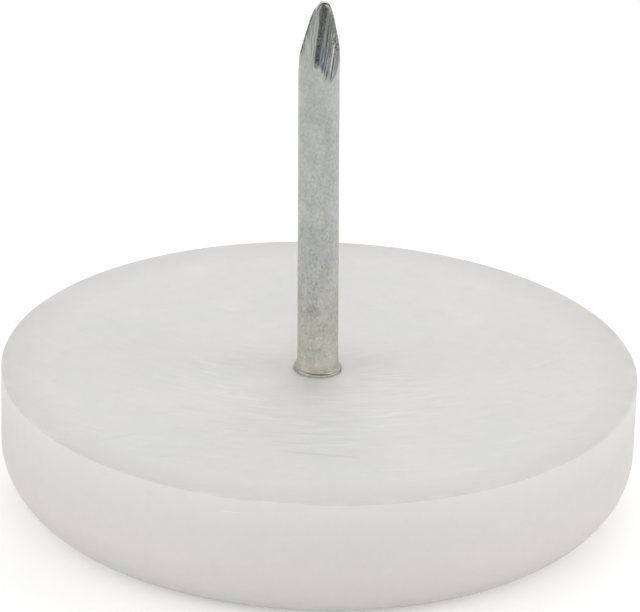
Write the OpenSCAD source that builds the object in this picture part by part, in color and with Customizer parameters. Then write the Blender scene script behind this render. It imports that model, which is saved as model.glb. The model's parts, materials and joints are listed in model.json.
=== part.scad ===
// Nail-on furniture glide: a moulded plastic disc with a steel nail set in its middle.
// The nail is driven into the end of a leg, and the disc then slides on the floor.
// Millimetres. The origin is the centre of the sliding face, and +Z points up the nail.

/* [Pad] */
// Outside diameter of the pad at its top edge
pad_d = 28; // [24:0.5:40]
// Height of the pad
pad_h = 6.1; // [6:0.1:9]
// Radius that rounds the side wall into the sliding face
sole_r = 2.8; // [1:0.1:5]
// Radius on the edge round the top face
rim_r = 0.15; // [0.05:0.05:0.4]
// How far the side wall draws in from its top to its foot, so that the pad leaves its mould
wall_taper = 0.03; // [0:0.01:0.2]

/* [Nail] */
// Diameter of the nail's wire
wire_d = 1.8; // [1.7:0.05:2.4]
// How far the point stands above the top face of the pad
nail_rise = 17.2; // [12:0.1:30]
// Lean of the nail away from the pad's axis, in degrees
nail_lean = 1.3; // [0:0.1:3]
// Diameter of the flat head that is buried in the pad
head_d = 5.6; // [4:0.1:7]
// Thickness of the head
head_t = 0.9; // [0.8:0.05:1.2]
// Radius round the rim of the head
head_rim_r = 0.35; // [0.1:0.05:0.35]
// Height of the head's upper face above the sliding face
head_z = 2.7; // [2.2:0.1:3.5]

/* [Collar] */
// How far the collar stands out from the wire, where the nail leaves the pad
collar_proud = 0.19; // [0.1:0.01:0.3]
// How far the collar stands above the top face
collar_rise = 0.25; // [0.25:0.05:0.8]
// Depth of the collar below the top face
collar_sink = 0.3; // [0.2:0.05:0.6]

/* [Point] */
// Direction that the first cut face looks in, in degrees from the front
point_turn = 28; // [0:1:90]
// Slopes of the four cut faces against the nail's axis, in degrees: two steep, two shallow
face_slopes = [13, 16.5, 6, 6]; // [5:0.5:16.5]
// Lengths of the four cut faces, from where each leaves the wire up to the tip
face_lengths = [3.35, 3.6, 3.95, 3.6]; // [3:0.05:4]
// Radius that rounds the blunt tip
tip_r = 0.6; // [0.6:0.05:0.9]

/* [Hidden] */
$fn = 96;

pad_r = pad_d / 2;
// Radius of the pad at the foot of its side wall, where the curve of the sole starts
foot_r = pad_r - wall_taper;
wire_r = wire_d / 2;
collar_r = wire_r + collar_proud;

// Lengths along the nail, counted from the upper face of its head
exit_len = (pad_h - head_z) / cos(nail_lean);
nail_len = exit_len + nail_rise / cos(nail_lean);
collar_low = exit_len - collar_sink;
collar_high = exit_len + collar_rise;

// The four faces of the point look in directions a quarter turn apart
function face_turn(i) = point_turn - 90 * i;
function face_at_tip(i) = wire_r - face_lengths[i] * tan(face_slopes[i]);
// The tip lies midway between opposite faces, so off the nail's axis towards the shallow ones
tip_u = (face_at_tip(0) - face_at_tip(2)) / 2;
tip_v = (face_at_tip(1) - face_at_tip(3)) / 2;
tip_x = tip_u * sin(face_turn(0)) + tip_v * sin(face_turn(1));
tip_y = -tip_u * cos(face_turn(0)) - tip_v * cos(face_turn(1));
// Side of the block that cuts each face, longer than any point
cutter = 4 * wire_d;

// Half of the pad's section: a rounded sole, a tapered wall and a rounded top edge
module pad_section() {
    wall_top = pad_h - rim_r;
    square([foot_r - sole_r, pad_h]);
    translate([foot_r - sole_r, sole_r]) intersection() {
        circle(sole_r);
        translate([0, -sole_r]) square(sole_r);
    }
    polygon([[0, sole_r], [foot_r, sole_r], [pad_r, wall_top], [0, wall_top]]);
    translate([0, sole_r]) square([pad_r - rim_r, pad_h - sole_r]);
    translate([pad_r - rim_r, wall_top]) circle(rim_r);
}

// Half of the head's section: a disc with a rounded rim, its upper face at zero
module head_section() {
    rim_x = head_d / 2 - head_rim_r;
    translate([0, -head_t]) square([rim_x, head_t]);
    translate([0, head_rim_r - head_t]) square([head_d / 2, head_t - 2 * head_rim_r]);
    for (z = [head_rim_r - head_t, -head_rim_r])
        translate([rim_x, z]) circle(head_rim_r);
}

// Half of the collar's section: square where it is sunk, rounded over onto the wire at the top
module collar_section() {
    shoulder = collar_high - collar_proud;
    translate([0, collar_low]) square([collar_r, shoulder - collar_low]);
    translate([wire_r, shoulder]) intersection() {
        circle(collar_proud);
        square(collar_proud);
    }
}

// The wire with its head and its collar, before the point is cut
module nail_blank() {
    rotate_extrude() {
        square([wire_r, nail_len]);
        head_section();
        collar_section();
    }
}

// A block whose near side is cut face i: it looks in its own direction and leans in by its slope
module face_cutter(i) {
    rotate([0, 0, face_turn(i) - 90])
        translate([wire_r, 0, nail_len - face_lengths[i]])
            rotate([0, -face_slopes[i], 0])
                translate([0, -cutter / 2, -wire_r])
                    cube(cutter);
}

// What the blunting of the tip leaves: a ball at the tip, and everything below its middle
module tip_round() {
    nose_z = nail_len - tip_r;
    translate([tip_x, tip_y, nose_z]) sphere(tip_r);
    translate([0, 0, -head_d]) cylinder(h = nose_z + head_d, d = 2 * head_d);
}

// The whole nail along +Z, the upper face of its head at zero
module nail_upright() {
    intersection() {
        difference() {
            nail_blank();
            for (i = [0 : 3]) face_cutter(i);
        }
        tip_round();
    }
}

// The nail as it stands in the pad, leaning about the middle of its head
module nail_body() {
    translate([0, 0, head_z]) rotate([0, -nail_lean, 0]) nail_upright();
}

// The plastic disc, moulded round the nail: its cavity is the nail's own form
module pad() {
    color("gainsboro") difference() {
        rotate_extrude() pad_section();
        nail_body();
    }
}

// The zinc-plated steel nail
module nail() {
    color("darkgray") nail_body();
}

pad();
nail();
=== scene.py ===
"""A nail-on furniture glide: a milky moulded plastic disc with a zinc-plated nail standing in its middle.

Both pieces are modelled here with the marks of their making, and each stands for its node of the frame.
The row frame is used throughout: +Z up, and the camera looks along +Y. Lengths are in metres.
"""

import json
import math

import bpy
from mathutils import Matrix, Vector, noise


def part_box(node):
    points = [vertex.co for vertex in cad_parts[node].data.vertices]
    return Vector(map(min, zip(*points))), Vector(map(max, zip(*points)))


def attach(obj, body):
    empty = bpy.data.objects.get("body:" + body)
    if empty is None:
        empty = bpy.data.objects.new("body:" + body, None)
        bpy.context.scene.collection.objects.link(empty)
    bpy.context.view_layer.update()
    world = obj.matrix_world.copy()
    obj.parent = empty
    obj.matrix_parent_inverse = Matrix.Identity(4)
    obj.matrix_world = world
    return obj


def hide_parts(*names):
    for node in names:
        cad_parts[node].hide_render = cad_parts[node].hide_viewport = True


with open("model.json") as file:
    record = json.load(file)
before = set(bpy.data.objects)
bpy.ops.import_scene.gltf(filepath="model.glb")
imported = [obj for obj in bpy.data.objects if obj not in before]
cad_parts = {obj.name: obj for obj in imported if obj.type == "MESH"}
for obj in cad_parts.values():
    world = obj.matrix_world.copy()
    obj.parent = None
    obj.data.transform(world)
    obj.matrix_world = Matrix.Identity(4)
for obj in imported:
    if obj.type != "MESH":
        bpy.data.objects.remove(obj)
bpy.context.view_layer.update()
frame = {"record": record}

MM = 0.001

# ---------------------------------------------------------------- sizes that the frame gives
PAD_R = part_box("pad")[1].x
TOP_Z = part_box("pad")[1].z
SHANK = next(m for m in frame["record"]["mounts"] if m["name"] == "nail_shank")
WIRE_R = SHANK["dims"]["r_mm"] * MM
NAIL_AXIS = Vector(SHANK["axis"]).normalized()

# ---------------------------------------------------------------- sizes that repeat the part's source
SOLE_R = 2.8 * MM
WALL_TAPER = 0.03 * MM
HEAD_Z = 2.7 * MM
HEAD_R = 2.8 * MM
HEAD_T = 0.9 * MM
HEAD_RIM_R = 0.35 * MM
NAIL_RISE = 17.2 * MM
COLLAR_SINK = 0.3 * MM
POINT_TURN = math.radians(28)
FACE_SLOPES = [math.radians(a) for a in (13, 16.5, 6, 6)]
FACE_LENGTHS = [3.35 * MM, 3.6 * MM, 3.95 * MM, 3.6 * MM]

# ---------------------------------------------------------------- the nail's own frame
# Its origin is the middle of the head's upper face, and lengths along the nail count from there.
NAIL_TURN = Vector((0, 0, 1)).rotation_difference(NAIL_AXIS)
NAIL_PLACE = Matrix.Translation((0, 0, HEAD_Z)) @ NAIL_TURN.to_matrix().to_4x4()
EXIT_LEN = (TOP_Z - HEAD_Z) / NAIL_AXIS.z
NAIL_LEN = EXIT_LEN + NAIL_RISE / NAIL_AXIS.z
COLLAR_LOW = EXIT_LEN - COLLAR_SINK
NAIL_EXIT = NAIL_PLACE @ Vector((0, 0, EXIT_LEN))


def face_turn(i):
    """Direction that cut face i looks in: zero is towards the camera, and a right angle is to the right."""
    return POINT_TURN - i * math.pi / 2


def face_normal(i):
    return Vector((math.sin(face_turn(i)), -math.cos(face_turn(i)), 0))


def face_depth(i, along):
    """Distance of cut face i from the nail's axis, at a length along the nail."""
    return WIRE_R - (along - (NAIL_LEN - FACE_LENGTHS[i])) * math.tan(FACE_SLOPES[i])


def tip_offset():
    """Where the tip lies off the nail's axis: midway between opposite faces."""
    reach = [face_depth(i, NAIL_LEN) for i in range(4)]
    return face_normal(0) * (reach[0] - reach[2]) / 2 + face_normal(1) * (reach[1] - reach[3]) / 2


TIP_OFFSET = tip_offset()

# ---------------------------------------------------------------- sizes of the marks of making
PAD_SEGMENTS = 384
# The rim of the top face, drawn sharper than in the solid
RIM_R = 0.07 * MM
NAIL_SEGMENTS = 200
# Radii of the rings that divide the flat faces of the nail's head
HEAD_RINGS = (0.8 * MM, 1.6 * MM)
ROOT_RING = 1.4 * MM
# The pad's top face is drawn down a little round the nail
DIP_R = 3.6 * MM
DIP_DEPTH = 0.04 * MM
# The hole in the plastic that the collar fills, how much narrower it gets on the way down, and the gap left
# between plastic and steel below it, with the depth of the hole's lip
HOLE_R = 1.035 * MM
HOLE_DRAFT = 0.02 * MM
HOLE_BOTTOM_DRAFT = 0.03 * MM
HOLE_GAP = 0.01 * MM
HOLE_LIP = 0.1 * MM
# The round of the tip: how blunt it is, how it widens, and over what length it reaches down the faces
NOSE_BLUNT = 0.47 * MM
NOSE_WIDENING = 0.1
NOSE_LEN = 0.8 * MM
# How far the front left face swells out near the tip, and from where over what length
SWELL = 0.055 * MM
SWELL_FROM = NAIL_LEN - 2.8 * MM
SWELL_SPAN = 1.4 * MM
# The steel that the cutter pushed out below the point: how proud, where, and over what length
BURR = 0.035 * MM
BURR_MIDDLE = NAIL_LEN - 2.55 * MM
BURR_SPAN = 0.38 * MM
# The collar where it leaves the pad: height above the top face, and how far it stands out from the wire at
# its sides and at its front, where a crease runs across it, all in mm
COLLAR_SHAPE = [
    (-0.20, 0.125, 0.125), (-0.10, 0.128, 0.128), (-0.03, 0.130, 0.130), (0.00, 0.130, 0.130),
    (0.03, 0.130, 0.126), (0.05, 0.128, 0.108), (0.068, 0.127, 0.084), (0.085, 0.126, 0.070),
    (0.10, 0.124, 0.078), (0.115, 0.122, 0.092), (0.13, 0.118, 0.094), (0.145, 0.112, 0.090),
    (0.16, 0.102, 0.083), (0.175, 0.088, 0.074), (0.19, 0.074, 0.065), (0.21, 0.062, 0.056),
    (0.24, 0.050, 0.046), (0.30, 0.035, 0.033), (0.40, 0.018, 0.018), (0.55, 0.006, 0.006), (0.80, 0.0, 0.0),
]
# How uneven the collar is where it stands out by COLLAR_FULL, in mm
COLLAR_UNEVEN = 0.03 * MM
COLLAR_FULL = 0.17
# The crease across the collar: the way it faces, its height in mm, and how much lower it lies for each mm to
# the right
CREASE_WAY = Vector((0.05, -1, 0)).normalized()
CREASE_HEIGHT = 0.085
CREASE_TILT = 0.06
# Where the rings of the point start
POINT_START = NAIL_LEN - 4.2 * MM
# The ridges between the cut faces are rounded over, and more so towards the tip
RIDGE_ROUND = 0.012 * MM
RIDGE_SOFTER = 2
RIDGE_SOFT_FROM = NAIL_LEN - 0.9 * MM
RIDGE_SOFT_SPAN = 0.7 * MM
# A cut face limits a ring only in the directions that face it at least this much
LEAST_FACING = 0.05


# ---------------------------------------------------------------- mesh building
def ring_mesh(name, start, rings, end):
    """A closed mesh: a point, rings that each have the same number of points, and a point."""
    count = len(rings[0])
    points = [start] + [p for ring in rings for p in ring] + [end]
    last = len(points) - 1
    faces = [(0, 1 + (k + 1) % count, 1 + k) for k in range(count)]
    for r in range(len(rings) - 1):
        low = 1 + r * count
        high = low + count
        for k in range(count):
            after = (k + 1) % count
            faces.append((low + k, low + after, high + after, high + k))
    top = last - count
    faces += [(last, top + k, top + (k + 1) % count) for k in range(count)]
    mesh = bpy.data.meshes.new(name)
    mesh.from_pydata(points, [], faces)
    mesh.shade_smooth()
    piece = bpy.data.objects.new(name, mesh)
    bpy.context.scene.collection.objects.link(piece)
    return piece


def circle_ring(radius, height, segments, centre=Vector((0, 0, 0))):
    turns = [2 * math.pi * k / segments for k in range(segments)]
    return [Vector((centre.x + radius * math.cos(a), centre.y + radius * math.sin(a), height)) for a in turns]


def arc(centre, radius, start_deg, end_deg, steps):
    """Points of an arc in a section, as pairs of radius and height."""
    turns = [math.radians(start_deg + (end_deg - start_deg) * k / steps) for k in range(steps + 1)]
    return [(centre[0] + radius * math.cos(a), centre[1] + radius * math.sin(a)) for a in turns]


def spread(start, end, steps):
    """Evenly spaced numbers from start up to, but not at, end."""
    return [start + (end - start) * k / steps for k in range(steps)]


def smooth(t):
    t = min(max(t, 0.0), 1.0)
    return t * t * (3 - 2 * t)


# ---------------------------------------------------------------- the pad
def pad_outside():
    """The pad's section from its underside round to the edge of the top face."""
    foot_r = PAD_R - WALL_TAPER
    wall_top = TOP_Z - RIM_R
    sole = [(r, 0.0) for r in spread(1 * MM, foot_r - SOLE_R, 10)]
    round_edge = arc((foot_r - SOLE_R, SOLE_R), SOLE_R, -90, 0, 24)
    wall = [(PAD_R - WALL_TAPER * (1 - t), SOLE_R + (wall_top - SOLE_R) * t) for t in spread(0, 1, 12)[1:]]
    rim = arc((PAD_R - RIM_R, wall_top), RIM_R, 0, 90, 8)
    return sole + round_edge + wall + rim


def top_height(distance):
    """Height of the top face at a distance from the nail."""
    return TOP_Z - DIP_DEPTH * (1 - smooth((distance - HOLE_R) / (DIP_R - HOLE_R)))


def pad_top_rings():
    """Rings of the top face, whose middle moves from the pad's axis to the nail."""
    outer = PAD_R - RIM_R
    radii = spread(outer, DIP_R, 40)[1:] + spread(DIP_R, HOLE_R, 24) + [HOLE_R]
    rings = []
    for radius in radii:
        centre = NAIL_EXIT * smooth((outer - radius) / (outer - DIP_R))
        rings.append(circle_ring(radius, top_height(radius), PAD_SEGMENTS, centre))
    return rings


def pad_cavity():
    """The cavity's section, in the nail's frame, from the hole down to the head's underside."""
    g = HOLE_GAP
    hole = [(HOLE_R - HOLE_DRAFT, EXIT_LEN - HOLE_LIP), (HOLE_R - HOLE_BOTTOM_DRAFT, COLLAR_LOW - g)]
    shank = [(WIRE_R + g, COLLAR_LOW - g)] + [(WIRE_R + g, s) for s in spread(COLLAR_LOW, g, 8)[1:]]
    head = [(WIRE_R + g, g)]
    head += arc((HEAD_R - HEAD_RIM_R, -HEAD_RIM_R), HEAD_RIM_R + g, 90, 0, 6)
    head += arc((HEAD_R - HEAD_RIM_R, HEAD_RIM_R - HEAD_T), HEAD_RIM_R + g, 0, -90, 6)
    return hole + shank + head


def build_pad():
    rings = [circle_ring(r, z, PAD_SEGMENTS) for r, z in pad_outside()]
    rings += pad_top_rings()
    for r, s in pad_cavity():
        rings.append([NAIL_PLACE @ p for p in circle_ring(r, s, PAD_SEGMENTS)])
    underside = Vector((0, 0, 0))
    cavity_end = NAIL_PLACE @ Vector((0, 0, -HEAD_T - HOLE_GAP))
    return ring_mesh("pad_moulding", underside, rings, cavity_end)


# ---------------------------------------------------------------- the nail
def nail_foot():
    """The section of the nail's buried part and its collar, as pairs of radius and length."""
    head = [(radius, -HEAD_T) for radius in HEAD_RINGS]
    head += arc((HEAD_R - HEAD_RIM_R, HEAD_RIM_R - HEAD_T), HEAD_RIM_R, -90, 0, 6)
    head += arc((HEAD_R - HEAD_RIM_R, -HEAD_RIM_R), HEAD_RIM_R, 0, 90, 6)
    root = [(ROOT_RING, 0.0), (WIRE_R, 0.0)]
    buried = [(WIRE_R, s) for s in spread(0, COLLAR_LOW, 8)[1:]]
    sunk = [(WIRE_R, COLLAR_LOW), (WIRE_R + COLLAR_SHAPE[0][1] * MM, COLLAR_LOW)]
    return head + root + buried + sunk


def soft_least(values, blend):
    """The least of several lengths, with the corner between near ones rounded over."""
    least = min(values)
    return least - blend * math.log(sum(math.exp((least - v) / blend) for v in values))


def nose_reach(way, to_tip, from_tip):
    """How far the round of the tip reaches from a ring's centre, one way, at a length from the tip."""
    outward = way.dot(to_tip)
    spare = from_tip * (NOSE_BLUNT + NOSE_WIDENING * from_tip) - to_tip.length_squared + outward ** 2
    return outward + math.sqrt(max(spare, 0))


def point_ring(along):
    """A ring of the point: the wire, cut by the four faces and rounded at the tip."""
    centre = TIP_OFFSET * smooth((along - POINT_START) / (NAIL_LEN - POINT_START))
    normals = [face_normal(i) for i in range(4)]
    clear = [face_depth(i, along) - normals[i].dot(centre) for i in range(4)]
    clear[1] += SWELL * smooth((along - SWELL_FROM) / SWELL_SPAN)
    blend = RIDGE_ROUND * (1 + RIDGE_SOFTER * smooth((along - RIDGE_SOFT_FROM) / RIDGE_SOFT_SPAN))
    round_r = WIRE_R + BURR * math.exp(-(((along - BURR_MIDDLE) / BURR_SPAN) ** 2))
    ring = []
    for k in range(NAIL_SEGMENTS):
        turn = 2 * math.pi * k / NAIL_SEGMENTS
        way = Vector((math.cos(turn), math.sin(turn), 0))
        inward = centre.dot(way)
        reaches = [math.sqrt(round_r ** 2 - centre.length_squared + inward ** 2) - inward]
        for normal, depth in zip(normals, clear):
            facing = normal.dot(way)
            if facing > LEAST_FACING:
                reaches.append(depth / facing)
        if NAIL_LEN - along <= NOSE_LEN:
            reaches.append(nose_reach(way, TIP_OFFSET - centre, NAIL_LEN - along))
        reach = max(soft_least(reaches, blend), 0.0)
        ring.append(centre + way * reach + Vector((0, 0, along)))
    return ring


def collar_ring(height, proud_side, proud_front):
    """A ring of the collar, a little uneven and tilted, as pinched steel is."""
    above = smooth(height / 0.05)
    ring = []
    for point in circle_ring(WIRE_R, EXIT_LEN + height * MM, NAIL_SEGMENTS):
        way = Vector((point.x, point.y, 0)).normalized()
        front = smooth((way.dot(CREASE_WAY) - 0.45) / 0.4)
        proud = (proud_side + (proud_front - proud_side) * front) * MM
        wave = noise.noise(way * 2.3 + Vector((0, 0, height * 3.0)))
        uneven = above * COLLAR_UNEVEN * (proud_side / COLLAR_FULL) * wave
        sink = above * smooth((0.6 - height) / 0.4) * CREASE_TILT * point.x
        ring.append(point + way * (proud + uneven) - Vector((0, 0, sink)))
    return ring


def build_nail():
    shank_low = EXIT_LEN + COLLAR_SHAPE[-1][0] * MM
    rings = [circle_ring(r, s, NAIL_SEGMENTS) for r, s in nail_foot()]
    rings += [collar_ring(*step) for step in COLLAR_SHAPE]
    rings += [circle_ring(WIRE_R, s, NAIL_SEGMENTS) for s in spread(shank_low, POINT_START, 110)[1:]]
    rings += [point_ring(s) for s in spread(POINT_START, NAIL_LEN - NOSE_LEN, 100)]
    rings += [point_ring(NAIL_LEN - NOSE_LEN * (1 - u) ** 2) for u in spread(0, 1, 32)]
    start = Vector((0, 0, -HEAD_T))
    end = TIP_OFFSET + Vector((0, 0, NAIL_LEN))
    piece = ring_mesh("nail_steel_wire", start, rings, end)
    piece.data.transform(NAIL_PLACE)
    return piece


# ---------------------------------------------------------------- materials
# The colour sockets of a Mix node, which has others of the same name
MIX_FIRST = 6
MIX_SECOND = 7
MIX_RESULT = 2


class Graph:
    """Short ways to add one material's nodes. An input is a number, a colour or another node's output."""

    def __init__(self, name, owner=None):
        self.owner = owner or bpy.data.materials.new(name)
        self.owner.use_nodes = True
        self.tree = self.owner.node_tree
        self.tree.nodes.clear()

    def add(self, kind, inputs=(), **settings):
        node = self.tree.nodes.new(kind)
        for key, value in settings.items():
            setattr(node, key, value)
        for key, value in dict(inputs).items():
            self.feed(node.inputs[key], value)
        return node

    def feed(self, socket, value):
        if isinstance(value, bpy.types.NodeSocket):
            self.tree.links.new(value, socket)
        else:
            socket.default_value = value

    def math(self, operation, *values):
        return self.add("ShaderNodeMath", enumerate(values), operation=operation).outputs[0]

    def fade(self, value, low, high, start=0.0, end=1.0):
        """A smooth change from start, where value is low, to end, where it is high."""
        if low > high:
            low, high, start, end = high, low, end, start
        inputs = {"Value": value, "From Min": low, "From Max": high, "To Min": start, "To Max": end}
        return self.add("ShaderNodeMapRange", inputs, interpolation_type="SMOOTHSTEP").outputs["Result"]

    def near(self, point, place, radius, share=1.0):
        """The share at a place, fading to nothing at a radius from it."""
        away = self.add("ShaderNodeVectorMath", {0: point, 1: place}, operation="DISTANCE").outputs["Value"]
        return self.fade(away, radius, radius * 0.3, 0.0, share)

    def product(self, *values):
        result = values[0]
        for value in values[1:]:
            result = self.math("MULTIPLY", result, value)
        return result

    def vector(self, x, y, z):
        return self.add("ShaderNodeCombineXYZ", enumerate((x, y, z))).outputs[0]

    def parts(self, vector):
        return self.add("ShaderNodeSeparateXYZ", {"Vector": vector}).outputs

    def scaled(self, vector, scale):
        return self.add("ShaderNodeMapping", {"Vector": vector, "Scale": scale}).outputs[0]

    def noise(self, vector, scale, detail=2.0, roughness=0.5):
        inputs = {"Vector": vector, "Scale": scale, "Detail": detail, "Roughness": roughness}
        return self.add("ShaderNodeTexNoise", inputs).outputs["Fac"]

    def mix(self, share, first, second, blend="MIX"):
        """A colour between first and second."""
        node = self.add("ShaderNodeMix", data_type="RGBA", blend_type=blend)
        self.feed(node.inputs["Factor"], share)
        self.feed(node.inputs[MIX_FIRST], first)
        self.feed(node.inputs[MIX_SECOND], second)
        return node.outputs[MIX_RESULT]

    def bump(self, height, distance, strength=1.0, under=None):
        inputs = {"Height": height, "Distance": distance, "Strength": strength}
        if under is not None:
            inputs["Normal"] = under
        return self.add("ShaderNodeBump", inputs).outputs["Normal"]

    def local_mm(self, place, rotation=(0, 0, 0)):
        """The point's place in a frame of the object, in millimetres."""
        point = self.add("ShaderNodeTexCoord").outputs["Object"]
        inputs = {"Vector": point, "Location": place, "Rotation": rotation, "Scale": (MM, MM, MM)}
        return self.add("ShaderNodeMapping", inputs, vector_type="TEXTURE").outputs[0]

    def finish(self, **inputs):
        """The shader itself, with these inputs."""
        named = {key.replace("_", " "): value for key, value in inputs.items()}
        shader = self.add("ShaderNodeBsdfPrincipled", named)
        self.add("ShaderNodeOutputMaterial", {"Surface": shader.outputs["BSDF"]})
        return self.owner


# The plastic. Radii from the nail and places on the top face are in mm.
MILKY = (0.795, 0.785, 0.748, 1)
MILKY_COOL = (0.772, 0.77, 0.736, 1)
MILKY_LIGHT = (0.84, 0.835, 0.80, 1)
# A darker milky: painted shade round the nail and along the rim, and the colour of dark strokes, scratches
# and grain
MILKY_SHADE_AND_MARKS = (0.66, 0.65, 0.61, 1)
# Darker and warmer, for the painted shade low on the wall
MILKY_LOW_SHADE = (0.768, 0.742, 0.716, 1)
# Lighter milky, for the turning strokes, the scratch on the wall and the painted glint on the rim
MILKY_STROKE_AND_GLINT = (0.91, 0.905, 0.88, 1)
# Painted shade round the nail, for its shadow and its head under the plastic: radius where it is full, and
# where it ends
NAIL_SHADE_RADII = (1.0, 6.0)
# How much light enters the plastic, and how far red, green and blue go in it
SCATTER_SHARE = 0.6
SCATTER_RADII = (1.0, 0.95, 0.85)
SCATTER_SCALE = 0.3 * MM
WAVE_BUMP = 0.05 * MM
GRAIN_BUMP = 0.008 * MM
STROKE_BUMP = 0.02 * MM
# The fine strokes that facing left on top: the middle of their arcs, how close and how short they are, where
# they are clearest and how far that reaches, and their shares
STROKE_CENTRE = (0, 12, 0)
STROKE_PITCH = 4.4
STROKE_ARC = 8.0
STROKE_PLACE = ((-0.5, -2.8, 0), 10.0)
STROKE_LIGHT = 0.32
STROKE_DARK = 0.24
# Soft light spots on the top face: place and radius
LIGHT_SPOTS = [((-5.8, 10.6), 1.1), ((6.6, 5.7), 1.3), ((-4.0, 6.5), 1.0), ((7.2, 9.6), 0.9)]
# Fine scratches on the top face: middle, direction in degrees, half length, half width and share
SCRATCHES = [
    ((0.15, -9.05), -7.7, 2.3, 0.16, 1.0),
    ((-2.4, -3.2), 8, 0.9, 0.06, 0.6),
    ((1.6, -3.9), -12, 0.8, 0.06, 0.6),
    ((-6.6, -5.2), 14, 1.0, 0.07, 0.5),
    ((7.4, -4.6), 22, 1.2, 0.06, 0.5),
    ((4.6, -7.6), 9, 0.8, 0.06, 0.5),
    ((-8.6, -7.9), 30, 1.3, 0.10, 0.5),
    ((-6.2, -9.6), 18, 1.0, 0.07, 0.5),
    ((-1.2, -6.1), -4, 1.5, 0.07, 0.5),
]

# Short white lines at the front, a painted glint on the rim and a scratch on the wall below it: middle
# across, half length, height, half width and share
WHITE_GLINT_AND_SCRATCH = [(-1.5, 1.5, 6.04, 0.035, 0.5), (-3.6, 0.5, 5.38, 0.03, 0.7)]


def distance_from(graph, place, centre):
    """Distance of a point from a centre, and its direction."""
    across = graph.add("ShaderNodeVectorMath", {0: place, 1: centre}, operation="SUBTRACT").outputs["Vector"]
    length = graph.add("ShaderNodeVectorMath", {0: across}, operation="LENGTH").outputs["Value"]
    way = graph.add("ShaderNodeVectorMath", {0: across}, operation="NORMALIZE").outputs["Vector"]
    return length, way


def turning_marks(graph, place):
    """Faint broken strokes of the tool that faced the top, clearest before the nail. Half is no mark."""
    radius, way = distance_from(graph, place, STROKE_CENTRE)
    around = graph.math("MULTIPLY", graph.parts(way)[0], STROKE_ARC)
    outward = graph.math("MULTIPLY", radius, STROKE_PITCH)
    strokes = graph.noise(graph.vector(around, 0.0, outward), 1.0, 3.0, 0.6)
    patches = graph.fade(graph.noise(place, 0.5, 2.0), 0.34, 0.54, 0.35, 1.0)
    clear = graph.math("MAXIMUM", graph.near(place, *STROKE_PLACE), 0.4)
    share = graph.product(patches, clear, graph.fade(graph.parts(place)[1], 8.0, 1.5))
    return graph.add("ShaderNodeMix", {"Factor": share, "A": 0.5, "B": strokes}).outputs[0]


def scratch(graph, place, middle, turn, half_length, half_width, share):
    """A fine straight scratch in the top face."""
    inputs = {"Vector": place, "Location": (*middle, 0), "Rotation": (0, 0, math.radians(turn))}
    x, y = graph.parts(graph.add("ShaderNodeMapping", inputs, vector_type="TEXTURE").outputs[0])[0:2]
    wide = graph.fade(graph.math("ABSOLUTE", y), half_width, half_width * 0.3, 0.0, share)
    return graph.math("MULTIPLY", wide, graph.fade(graph.math("ABSOLUTE", x), half_length, half_length * 0.4))


def white_line(graph, place, middle, half_length, level, half_width, share):
    """A short white line that runs level along the front of the pad, used for the painted glint on the rim
    and for the scratch on the wall.
    """
    x, y, height = graph.parts(place)
    off = graph.math("ABSOLUTE", graph.math("SUBTRACT", height, level))
    reach = graph.math("ABSOLUTE", graph.math("SUBTRACT", x, middle))
    line = graph.fade(off, half_width, half_width * 0.3, 0.0, share)
    return graph.product(line, graph.fade(reach, half_length, half_length * 0.5), graph.fade(y, -10.0, -12.0))


def rim_shade(graph, place, radius, height):
    """How much painted shade lies on the band along the top face's edge, and on the broken line of the edge
    itself.
    """
    edge_r = PAD_R / MM
    top = TOP_Z / MM
    uneven = graph.noise(place, 0.45, 3.0)
    band = graph.fade(radius, edge_r - 2.2, edge_r - 0.3, 0.0, 0.40)
    line = graph.fade(radius, edge_r - 0.5, edge_r - 0.1)
    line = graph.product(line, graph.fade(uneven, 0.45, 0.6, 0.0, 0.3))
    edge = graph.fade(height, top - 0.10, top - 0.04)
    edge = graph.product(edge, graph.fade(uneven, 0.38, 0.55, 0.1, 0.6))
    edge = graph.product(edge, graph.fade(radius, edge_r - 0.16, edge_r - 0.06))
    return graph.math("ADD", band, line), edge


def body_colour(graph, place, height, on_top):
    """Milky white with faint clouds; painted shade makes it darker and warmer low on the wall, but not at the
    foot, and painted light makes it lighter below its rim.
    """
    clouds = graph.noise(place, 0.22, 4.0, 0.55)
    colour = graph.mix(graph.fade(clouds, 0.35, 0.65), MILKY, MILKY_COOL)
    # Painted shade low on the wall, which gives way at the foot as painted light against the floor's shadow
    above_foot = graph.fade(height, 0.1, 1.3, 0.0, 1.0)
    colour = graph.mix(graph.product(graph.fade(height, 5.8, 1.6), above_foot), colour, MILKY_LOW_SHADE)
    # Painted light on the wall just below its rim
    wall_top = graph.product(graph.fade(height, 4.2, 5.8, 0.0, 0.6), graph.math("SUBTRACT", 1.0, on_top))
    return graph.mix(wall_top, colour, MILKY_LIGHT)


def spotted(graph, place, flat_place, on_top, colour):
    """The colour with soft light spots on top, and a faint grain all over."""
    mottle = graph.noise(flat_place, 0.8, 4.0, 0.6)
    spots = graph.fade(mottle, 0.54, 0.74, 0.0, 0.35)
    for middle, spot_radius in LIGHT_SPOTS:
        spot = graph.near(flat_place, (*middle, 0), spot_radius)
        spots = graph.math("MAXIMUM", spots, graph.product(spot, graph.fade(mottle, 0.35, 0.6, 0.1, 0.5)))
    colour = graph.mix(graph.math("MULTIPLY", spots, on_top), colour, MILKY_LIGHT)
    grainy = graph.noise(place, 1.7, 5.0, 0.7)
    colour = graph.mix(graph.fade(grainy, 0.5, 0.74, 0.0, 0.2), colour, MILKY_LIGHT)
    return graph.mix(graph.fade(grainy, 0.5, 0.28, 0.0, 0.14), colour, MILKY_SHADE_AND_MARKS)


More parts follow.
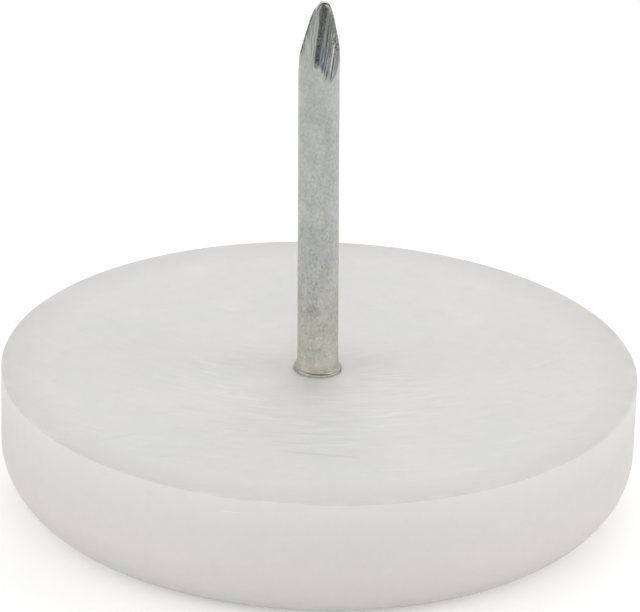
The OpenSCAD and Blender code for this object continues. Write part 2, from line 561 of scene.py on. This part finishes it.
def shade_and_mark_shares(graph, place, flat_place, height, on_top, marks):
    """Shares of what makes the plastic darker: painted shade round the nail and along the rim, and the
    strokes and scratches.
    """
    scratches = 0.0
    for one in SCRATCHES:
        scratches = graph.math("MAXIMUM", scratches, scratch(graph, flat_place, *one))
    from_nail = distance_from(graph, flat_place, (NAIL_EXIT.x / MM, 0, 0))[0]
    from_axis = distance_from(graph, flat_place, (0, 0, 0))[0]
    # Painted shade round the nail
    nail_shade = graph.math("POWER", graph.fade(from_nail, NAIL_SHADE_RADII[1], NAIL_SHADE_RADII[0]), 1.8)
    band, edge = rim_shade(graph, place, from_axis, height)
    return [
        graph.product(nail_shade, on_top, 0.5),
        graph.product(band, on_top),
        edge,
        graph.product(graph.fade(marks, 0.49, 0.38), on_top, STROKE_DARK),
        graph.product(scratches, on_top, 0.5),
    ]


def plastic_colour(graph, place, flat_place, on_top, marks):
    """The plastic's colour, with all its spots, strokes and marks, and its painted light and shade."""
    height = graph.parts(place)[2]
    colour = body_colour(graph, place, height, on_top)
    colour = spotted(graph, place, flat_place, on_top, colour)
    light_strokes = graph.product(graph.fade(marks, 0.51, 0.62), on_top, STROKE_LIGHT)
    colour = graph.mix(light_strokes, colour, MILKY_STROKE_AND_GLINT)
    for share in shade_and_mark_shares(graph, place, flat_place, height, on_top, marks):
        colour = graph.mix(share, colour, MILKY_SHADE_AND_MARKS)
    for one in WHITE_GLINT_AND_SCRATCH:
        colour = graph.mix(white_line(graph, place, *one), colour, MILKY_STROKE_AND_GLINT)
    return colour


def plastic_material():
    graph = Graph("milky_plastic")
    place = graph.local_mm((0, 0, 0))
    x, y, height = graph.parts(place)
    flat_place = graph.vector(x, y, 0.0)
    on_top = graph.fade(height, TOP_Z / MM - 0.10, TOP_Z / MM - 0.05)
    marks = turning_marks(graph, flat_place)
    colour = plastic_colour(graph, place, flat_place, on_top, marks)
    gloss = graph.fade(graph.noise(place, 1.3, 4.0, 0.6), 0.3, 0.7, 0.56, 0.68)
    grain = graph.noise(place, 6.0, 4.0, 0.6)
    waves = graph.noise(place, 0.45, 2.0, 0.5)
    normal = graph.bump(waves, WAVE_BUMP, 0.5)
    normal = graph.bump(grain, GRAIN_BUMP, 0.5, normal)
    normal = graph.bump(graph.math("MULTIPLY", marks, on_top), STROKE_BUMP, 0.8, normal)
    return graph.finish(
        Base_Color=colour,
        Roughness=gloss,
        IOR=1.5,
        Subsurface_Weight=SCATTER_SHARE,
        Subsurface_Radius=SCATTER_RADII,
        Subsurface_Scale=SCATTER_SCALE,
        Normal=normal,
    )


# The nail's plating, and its cut faces. Widths and lengths are in mm.
ZINC = (0.548, 0.560, 0.534, 1)
ZINC_DARK = (0.350, 0.363, 0.341, 1)
ZINC_WARM = (0.515, 0.505, 0.430, 1)
ZINC_LILAC = (0.490, 0.482, 0.505, 1)
ZINC_PINK = (0.53, 0.47, 0.44, 1)
ZINC_GREEN = (0.50, 0.51, 0.42, 1)
# A dark grey for painted shade
ZINC_SHADE = (0.24, 0.235, 0.25, 1)
# For a painted highlight
ZINC_HIGHLIGHT = (0.72, 0.72, 0.68, 1)
BARE_LIGHT = (0.435, 0.44, 0.405, 1)
BARE_MID = (0.20, 0.205, 0.205, 1)
# Dark bare steel, also used as painted shade in the crease, beside the cut faces' ridges and along the tip's
# edge
BARE_DARK_AND_SHADE = (0.045, 0.047, 0.05, 1)
BARE_BLUE = (0.16, 0.18, 0.21, 1)
# Patches on the nail, in the nail's frame: tints of the plating, and painted shade on the collar's flanks and
# down the middle of its front: colour, place, radius and share
EXIT_MM = EXIT_LEN / MM
PATCHES = [
    (ZINC_SHADE, (-1.03, 0, EXIT_MM + 0.12), 0.2, 0.45),
    (ZINC_SHADE, (1.03, -0.1, EXIT_MM + 0.06), 0.22, 0.6),
    (ZINC_SHADE, (-0.25, -0.85, 6.4), 0.5, 0.5),
    (ZINC_SHADE, (0.05, -0.9, 7.75), 0.3, 0.3),
    (ZINC_SHADE, (0.1, -0.9, 4.6), 0.3, 0.3),
    (ZINC_SHADE, (0, -0.9, 9.7), 1.3, 0.14),
    (ZINC_SHADE, (0.1, -0.9, 5.6), 0.6, 0.2),
    (ZINC_PINK, (0.5, -0.75, 7.1), 0.4, 0.5),
    (ZINC_PINK, (0.3, -0.8, 6.2), 0.3, 0.4),
    (ZINC_GREEN, (0.25, -0.85, 7.3), 0.25, 0.5),
    (ZINC, (-0.85, -0.3, 14.2), 0.5, 0.8),
    (ZINC_PINK, (-0.45, -0.8, EXIT_MM + 0.3), 0.75, 0.65),
    (ZINC_GREEN, (0.55, -0.7, EXIT_MM + 0.4), 0.75, 0.7),
    (ZINC_WARM, (0, -0.9, EXIT_MM), 0.9, 0.9),
]
# Fine lines above the crease, a painted highlight and a line of painted shade where the steel ripples: height
# above it, colour and share
COLLAR_LINES = [(0.05, ZINC_HIGHLIGHT, 0.8), (0.10, ZINC_SHADE, 0.5)]
# How far the streaks of each cut face lean from the nail's direction, across for each mm along
STREAK_LEANS = [0.29, -0.27, 0.29, -0.27]
STREAK_MIDDLE = 18.5
POINT_TOP = NAIL_LEN / MM
# The cut faces from the lowest to the uppermost, where they meet
FACE_ORDER = (2, 3, 1, 0)
STEEL_BUMP = 0.012 * MM


class CutFace:
    """One cut face of the point: where it is, how far a point lies behind it, and the run of its streaks."""

    def __init__(self, graph, local, i):
        inputs = {"Vector": local, "Rotation": (0, 0, face_turn(i))}
        turned = graph.add("ShaderNodeMapping", inputs, vector_type="TEXTURE").outputs[0]
        across, back, self.along = graph.parts(turned)
        depth = graph.math("MULTIPLY_ADD", self.along, -math.tan(FACE_SLOPES[i]), face_depth(i, 0) / MM)
        self.gap = graph.math("ADD", depth, back)
        onto_nose = graph.fade(self.along, POINT_TOP - 1.0, POINT_TOP - 0.4, 0.0, 0.17)
        self.share = graph.fade(graph.math("SUBTRACT", self.gap, onto_nose), 0.03, 0.008)
        lean = graph.math("MULTIPLY_ADD", self.along, -STREAK_LEANS[i], STREAK_LEANS[i] * STREAK_MIDDLE)
        self.across = graph.math("ADD", across, lean)
        self.lines = self.streaks(graph, 7.0 * i, 13.0, 0.9)

    def streaks(self, graph, seed, pitch, run):
        """Fine lines along the face."""
        x = graph.math("MULTIPLY", self.across, pitch)
        y = graph.math("MULTIPLY", self.along, run)
        return graph.noise(graph.vector(x, y, seed), 1.0, 4.0, 0.68)

    def one_streak(self, graph, place, low, high, half_width, share):
        """A single line along the face, with soft ends."""
        off = graph.math("ABSOLUTE", graph.math("SUBTRACT", self.across, place))
        wide = graph.fade(off, half_width, half_width * 0.3, 0.0, share)
        begins = graph.fade(self.along, low, low + 0.15)
        ends = graph.fade(self.along, high, high - 0.15)
        return graph.math("MULTIPLY", wide, graph.math("MULTIPLY", begins, ends))


# Single streaks: place across, lowest and highest point along, half width, and how dark
DARK_STREAKS = [
    (-0.02, 18.65, 19.5, 0.045, 0.9), (-0.05, 17.65, 18.2, 0.04, 0.8), (0.21, 17.3, 17.85, 0.035, 0.8),
    (0.45, 17.3, 18.35, 0.04, 0.8), (0.13, 18.5, 19.1, 0.03, 0.5), (0.30, 18.0, 18.5, 0.03, 0.5),
    (0.08, 17.45, 18.0, 0.03, 0.7), (0.56, 17.6, 18.4, 0.03, 0.5),
]
BRIGHT_STREAKS = [
    (0.37, 17.65, 18.9, 0.035, 1.0), (0.51, 17.4, 18.3, 0.025, 0.6), (0.14, 17.5, 18.3, 0.02, 0.5),
]
# A painted highlight beside the ridge, at the tip
NOSE_HIGHLIGHT = TIP_OFFSET / MM + Vector((0.12, -0.17, POINT_TOP - 0.15))
LEFT_STREAKS = [(0.14, 18.6, 19.5, 0.04, 0.75), (0.36, 18.3, 19.2, 0.03, 0.4), (-0.2, 17.6, 18.6, 0.04, 0.35)]


def dark_face(graph, face, ridge_gap, local, under):
    """The colour of the front right face: streaked bare steel, darker than the other cut faces, partly as
    painted shade, and darkest beside the ridge.
    """
    colour = graph.mix(graph.fade(face.lines, 0.34, 0.68), BARE_DARK_AND_SHADE, BARE_LIGHT)
    body = graph.mix(graph.fade(face.along, 18.6, 18.9), BARE_BLUE, BARE_MID)
    body = graph.mix(graph.fade(face.across, 0.2, 0.32, 0.0, 0.5), body, BARE_LIGHT)
    colour = graph.mix(0.5, colour, body)
    specks = graph.noise(local, 11.0, 3.0, 0.6)
    right_side = graph.fade(face.across, 0.2, 0.4, 0.25, 0.9)
    above = graph.fade(face.along, 18.2, 18.7)
    dark_specks = graph.product(graph.fade(specks, 0.47, 0.59), right_side, above)
    colour = graph.mix(dark_specks, colour, BARE_DARK_AND_SHADE)
    low_edge = graph.math("MULTIPLY_ADD", face.across, 1.1, face.along)
    colour = graph.mix(graph.fade(low_edge, 17.85, 17.65, 0.0, 0.85), colour, under)
    uneven = graph.fade(specks, 0.35, 0.62, 1.0, 0.5)
    band = graph.product(graph.fade(ridge_gap, 0.32, 0.08), graph.fade(face.along, 17.85, 18.05), uneven)
    core = graph.product(graph.fade(ridge_gap, 0.34, 0.16), graph.fade(face.along, 19.1, 19.5), uneven)
    colour = graph.mix(graph.math("MAXIMUM", band, core), colour, BARE_DARK_AND_SHADE)
    # Painted highlight at the tip
    painted_highlight = graph.product(graph.near(local, NOSE_HIGHLIGHT, 0.16, 0.9), graph.fade(specks, 0.62, 0.45, 0.3, 1.0))
    colour = graph.mix(painted_highlight, colour, BARE_LIGHT)
    for streak in DARK_STREAKS:
        colour = graph.mix(face.one_streak(graph, *streak), colour, BARE_DARK_AND_SHADE)
    for streak in BRIGHT_STREAKS:
        colour = graph.mix(face.one_streak(graph, *streak), colour, ZINC)
    return colour


def light_face(graph, face, under):
    """The colour of the other cut faces: lighter, greyer towards the tip, fading into the plating below."""
    colour = graph.mix(graph.fade(face.lines, 0.36, 0.60), BARE_MID, BARE_LIGHT)
    colour = graph.mix(graph.fade(face.along, 18.9, 19.9, 0.0, 0.3), colour, BARE_MID)
    return graph.mix(graph.fade(face.along, 18.6, 17.6, 0.0, 0.85), colour, under)


def level_with_painted_light(graph, local, along):
    """How light the plating is drawn: cloudy and a little darker towards the point; with painted light
    towards the base and on the sides, painted shade that makes it darkest round the collar, and painted light
    on the collar's ring below the crease.
    """
    cloudy = graph.noise(graph.scaled(local, (1.0, 1.0, 0.55)), 1.3, 3.0, 0.6)
    # Painted light: lighter towards the base
    low = graph.fade(along, 4.0, 9.0, 1.12, 0.97)
    high = graph.fade(along, 9.0, 15.0, 1.0, 0.94)
    level = graph.product(graph.fade(cloudy, 0.36, 0.64, 0.94, 1.06), low, high)
    # Painted light on the sides, more on the right
    x = graph.parts(local)[0]
    sides = graph.math("ADD", graph.fade(x, 0.3, 0.8, 1.0, 1.09), graph.fade(x, -0.3, -0.8, 0.0, 0.03))
    level = graph.product(level, graph.fade(along, 5.5, 8.5, 1.0, sides))
    # Painted shade round the collar, then painted light on the ring below its crease
    level = graph.product(level, graph.fade(along, EXIT_MM + 0.6, EXIT_MM + 0.2, 1.0, 0.75))
    return graph.product(level, graph.fade(along, EXIT_MM + 0.12, EXIT_MM + 0.05, 1.0, 1.06))


def plating_with_painted_light(graph, local, along):
    """Dull zinc, finely mottled, with tints and patches of painted shade that are clearest near the pad, and
    painted light and shade in its level.
    """
    fine = graph.noise(graph.scaled(local, (1.0, 1.0, 0.8)), 8.0, 5.0, 0.75)
    coarse = graph.fade(along, 4.0, 10.0, 1.5, 0.62)
    contrast = graph.product(coarse, graph.fade(along, 13.0, 16.0, 1.0, 0.78))
    grain = graph.math("MULTIPLY_ADD", graph.fade(fine, 0.36, 0.64, -0.5, 0.5), contrast, 0.5)
    colour = graph.mix(grain, ZINC_DARK, ZINC)
    warm = graph.fade(graph.noise(local, 3.2, 4.0, 0.65), 0.42, 0.68)
    colour = graph.mix(graph.product(warm, graph.fade(along, 15.0, 4.0, 0.1, 0.8)), colour, ZINC_WARM)
    lilac = graph.noise(graph.scaled(local, (1.0, 1.0, 0.5)), 2.1, 3.0)
    colour = graph.mix(graph.fade(lilac, 0.5, 0.68, 0.0, 0.4), colour, ZINC_LILAC)
    colour = graph.mix(graph.fade(along, 7.6, 5.4, 0.0, 0.3), colour, ZINC_WARM)
    broken = graph.fade(fine, 0.62, 0.40, 0.35, 1.0)
    for tint, place, radius, share in PATCHES:
        colour = graph.mix(graph.product(graph.near(local, place, radius, share), broken), colour, tint)
    level = level_with_painted_light(graph, local, along)
    return graph.mix(1.0, colour, graph.vector(level, level, level), "MULTIPLY")


def collar_lines(graph, local, along, colour):
    """Painted shade in the crease across the collar, and a fine painted highlight and line of painted shade
    above it on the right.
    """
    x = graph.parts(local)[0]
    rise = graph.math("SUBTRACT", graph.math("MULTIPLY_ADD", x, CREASE_TILT, along), EXIT_MM + CREASE_HEIGHT)
    way = graph.add("ShaderNodeVectorMath", {0: graph.scaled(local, (1, 1, 0))}, operation="NORMALIZE")
    facing = {0: way.outputs["Vector"], 1: CREASE_WAY}
    front = graph.add("ShaderNodeVectorMath", facing, operation="DOT_PRODUCT").outputs["Value"]
    right = graph.product(graph.fade(x, 0.22, 0.36), graph.fade(x, 0.72, 0.6))
    # Painted shade in the crease
    crease = graph.fade(graph.math("ABSOLUTE", rise), 0.035, 0.015)
    colour = graph.mix(graph.product(crease, graph.fade(front, 0.80, 0.93, 0.0, 0.6)), colour, BARE_DARK_AND_SHADE)
    for height, tint, share in COLLAR_LINES:
        off = graph.math("ABSOLUTE", graph.math("SUBTRACT", rise, height))
        colour = graph.mix(graph.product(graph.fade(off, 0.03, 0.01), right, share), colour, tint)
    return colour


def nose(graph, local, along, under):
    """The round of the tip: dull and spotted, with a painted highlight on its top behind a line of painted
    shade along its edge.
    """
    spotted = graph.mix(graph.fade(graph.noise(local, 9.0, 2.0), 0.42, 0.58, 0.0, 0.6), BARE_MID, BARE_LIGHT)
    colour = graph.mix(graph.fade(along, POINT_TOP - 1.0, POINT_TOP - 0.6), under, spotted)
    behind = graph.math("SUBTRACT", graph.parts(local)[1], TIP_OFFSET.y / MM)
    on_nose = graph.fade(along, POINT_TOP - 0.42, POINT_TOP - 0.34)
    # Painted highlight on the tip's top, and painted shade along the edge in front of it
    top = graph.product(graph.fade(behind, -0.14, -0.11), on_nose)
    line = graph.product(graph.fade(behind, -0.20, -0.17), graph.fade(behind, -0.11, -0.13), on_nose)
    return colour, top, line


def left_face(graph, faces, local, along, under):
    """The colour of the front left face: a light face with streaks, with painted shade along the ridges
    beside its neighbours.
    """
    colour = light_face(graph, faces[1], under)
    for streak in LEFT_STREAKS:
        colour = graph.mix(faces[1].one_streak(graph, *streak), colour, BARE_MID)
    above = graph.fade(along, 17.9, 18.3)
    # Painted shade along its ridges
    beside_dark = graph.product(graph.fade(faces[0].gap, 0.12, 0.04, 0.0, 0.7), above)
    colour = graph.mix(beside_dark, colour, BARE_DARK_AND_SHADE)
    broken = graph.fade(graph.noise(local, 5.0, 3.0), 0.38, 0.55, 0.35, 1.0)
    edge = graph.product(graph.fade(faces[2].gap, 0.2, 0.08, 0.0, 0.9), above, broken)
    return graph.mix(edge, colour, BARE_DARK_AND_SHADE)


def cut_point(graph, local, along, zinc):
    """The colour of the nail with its cut faces, and the height of its grain."""
    faces = [CutFace(graph, local, i) for i in range(4)]
    colours = [
        dark_face(graph, faces[0], faces[1].gap, local, zinc),
        left_face(graph, faces, local, along, zinc),
        light_face(graph, faces[2], zinc),
        light_face(graph, faces[3], zinc),
    ]
    colour = zinc
    height = graph.noise(local, 9.0, 4.0, 0.6)
    for i in FACE_ORDER:
        colour = graph.mix(faces[i].share, colour, colours[i])
        mixed = {"Factor": faces[i].share, "A": height, "B": faces[i].lines}
        height = graph.add("ShaderNodeMix", mixed).outputs["Result"]
    return colour, height


def steel_gloss(graph, local, along):
    """Roughness: uneven, lower on the cut point, and higher at the collar."""
    gloss = graph.fade(graph.noise(local, 5.0, 3.0), 0.3, 0.7, 0.40, 0.54)
    gloss = graph.math("ADD", graph.fade(along, POINT_TOP - 3.9, POINT_TOP - 3.0, 0.0, -0.07), gloss)
    return graph.math("ADD", graph.fade(along, EXIT_MM + 0.6, EXIT_MM + 0.2, 0.0, 0.2), gloss)


def steel_material():
    graph = Graph("zinc_plated_steel")
    local = graph.local_mm((0, 0, HEAD_Z), NAIL_TURN.to_euler())
    along = graph.parts(local)[2]
    zinc = plating_with_painted_light(graph, local, along)
    zinc, tip_highlight, tip_shade_line = nose(graph, local, along, zinc)
    colour, height = cut_point(graph, local, along, zinc)
    colour = graph.mix(tip_highlight, colour, ZINC)
    colour = graph.mix(graph.math("MULTIPLY", tip_shade_line, 0.85), colour, BARE_DARK_AND_SHADE)
    colour = collar_lines(graph, local, along, colour)
    gloss = steel_gloss(graph, local, along)
    normal = graph.bump(height, STEEL_BUMP, 0.6)
    return graph.finish(Base_Color=colour, Metallic=1.0, Roughness=gloss, Normal=normal)


# ---------------------------------------------------------------- floor, world, lights
WORLD_STRENGTH = 0.60
FLOOR_COLOUR = (0.87, 0.87, 0.87, 1)
FLOOR_GLOW = 0.34
FLOOR_HALF = 1.5


def seen_directly(graph):
    """One for what the camera, reflections and glass see, and zero for all other light."""
    path = graph.add("ShaderNodeLightPath").outputs
    seen = graph.math("MAXIMUM", path["Is Camera Ray"], path["Is Glossy Ray"])
    return graph.math("MAXIMUM", seen, path["Is Transmission Ray"])


def build_world():
    """White to look at, and a plain soft light for the rest."""
    world = bpy.data.worlds.new("studio")
    graph = Graph("studio", world)
    strength = graph.fade(seen_directly(graph), 0, 1, WORLD_STRENGTH, 1.0)
    light = graph.add("ShaderNodeBackground", {"Color": (1, 1, 1, 1), "Strength": strength})
    graph.add("ShaderNodeOutputWorld", {"Surface": light.outputs[0]})
    bpy.context.scene.world = world


def floor_material():
    """A pale floor that looks white where it is fully lit, and keeps the object's shadow."""
    graph = Graph("pale_floor")
    cover = graph.add("ShaderNodeBsdfDiffuse", {"Color": FLOOR_COLOUR})
    glow_strength = graph.fade(seen_directly(graph), 0, 1, 0.0, FLOOR_GLOW)
    glow = graph.add("ShaderNodeEmission", {"Strength": glow_strength})
    both = graph.add("ShaderNodeAddShader", {0: cover.outputs[0], 1: glow.outputs[0]})
    graph.add("ShaderNodeOutputMaterial", {"Surface": both.outputs[0]})
    return graph.owner


def build_floor():
    h = FLOOR_HALF
    mesh = bpy.data.meshes.new("floor")
    mesh.from_pydata([(-h, -h, 0), (h, -h, 0), (h, h, 0), (-h, h, 0)], [], [(0, 1, 2, 3)])
    floor = bpy.data.objects.new("floor", mesh)
    bpy.context.scene.collection.objects.link(floor)
    floor.data.materials.append(floor_material())


def softbox(name, azimuth, elevation, distance, size, power):
    """A square area light that looks at the object, at an azimuth counted from the front to the right."""
    data = bpy.data.lights.new(name, "AREA")
    data.shape = "SQUARE"
    data.size = size
    data.energy = power
    lamp = bpy.data.objects.new(name, data)
    bpy.context.scene.collection.objects.link(lamp)
    a, e = math.radians(azimuth), math.radians(elevation)
    way = Vector((math.sin(a) * math.cos(e), -math.cos(a) * math.cos(e), math.sin(e)))
    lamp.location = way * distance
    lamp.rotation_euler = (-way).to_track_quat("-Z", "Y").to_euler()


# Name, azimuth and elevation in degrees, distance and size in metres, power in watts
LIGHTS = [
    ("top_box", -20, 70, 0.6, 0.4, 0.11),
    ("front_box", 3, 8, 0.6, 0.35, 0.60),
    ("left_box", -72, 20, 0.6, 0.35, 0.61),
    ("right_box", 84, 20, 0.6, 0.35, 0.69),
    ("back_box", 172, 45, 0.3, 0.2, 0.15),
]


# ---------------------------------------------------------------- camera
CAMERA_PLACE = Vector((0, -0.297617, 0.140752))
CAMERA_AIM = Vector((-0.0000556, 0, 0.009062))
CAMERA_ROLL = math.radians(1.6896)
CAMERA_LENS = 417.36


def build_camera():
    data = bpy.data.cameras.new("camera")
    data.lens = CAMERA_LENS
    data.sensor_width = 36
    data.clip_start = 0.01
    data.clip_end = 10
    camera = bpy.data.objects.new("camera", data)
    bpy.context.scene.collection.objects.link(camera)
    look = (CAMERA_AIM - CAMERA_PLACE).to_track_quat("-Z", "Y").to_matrix().to_4x4()
    roll = Matrix.Rotation(CAMERA_ROLL, 4, "Z")
    camera.matrix_world = Matrix.Translation(CAMERA_PLACE) @ look @ roll
    bpy.context.scene.camera = camera


# ---------------------------------------------------------------- the scene
def dress(piece, node, material):
    """Gives a piece its material, and sets it in the place of its node."""
    piece.data.materials.append(material)
    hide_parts(node)
    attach(piece, "root")


dress(build_pad(), "pad", plastic_material())
dress(build_nail(), "nail", steel_material())
build_floor()
build_world()
for light in LIGHTS:
    softbox(*light)
build_camera()
bpy.context.scene.view_settings.view_transform = "Standard"
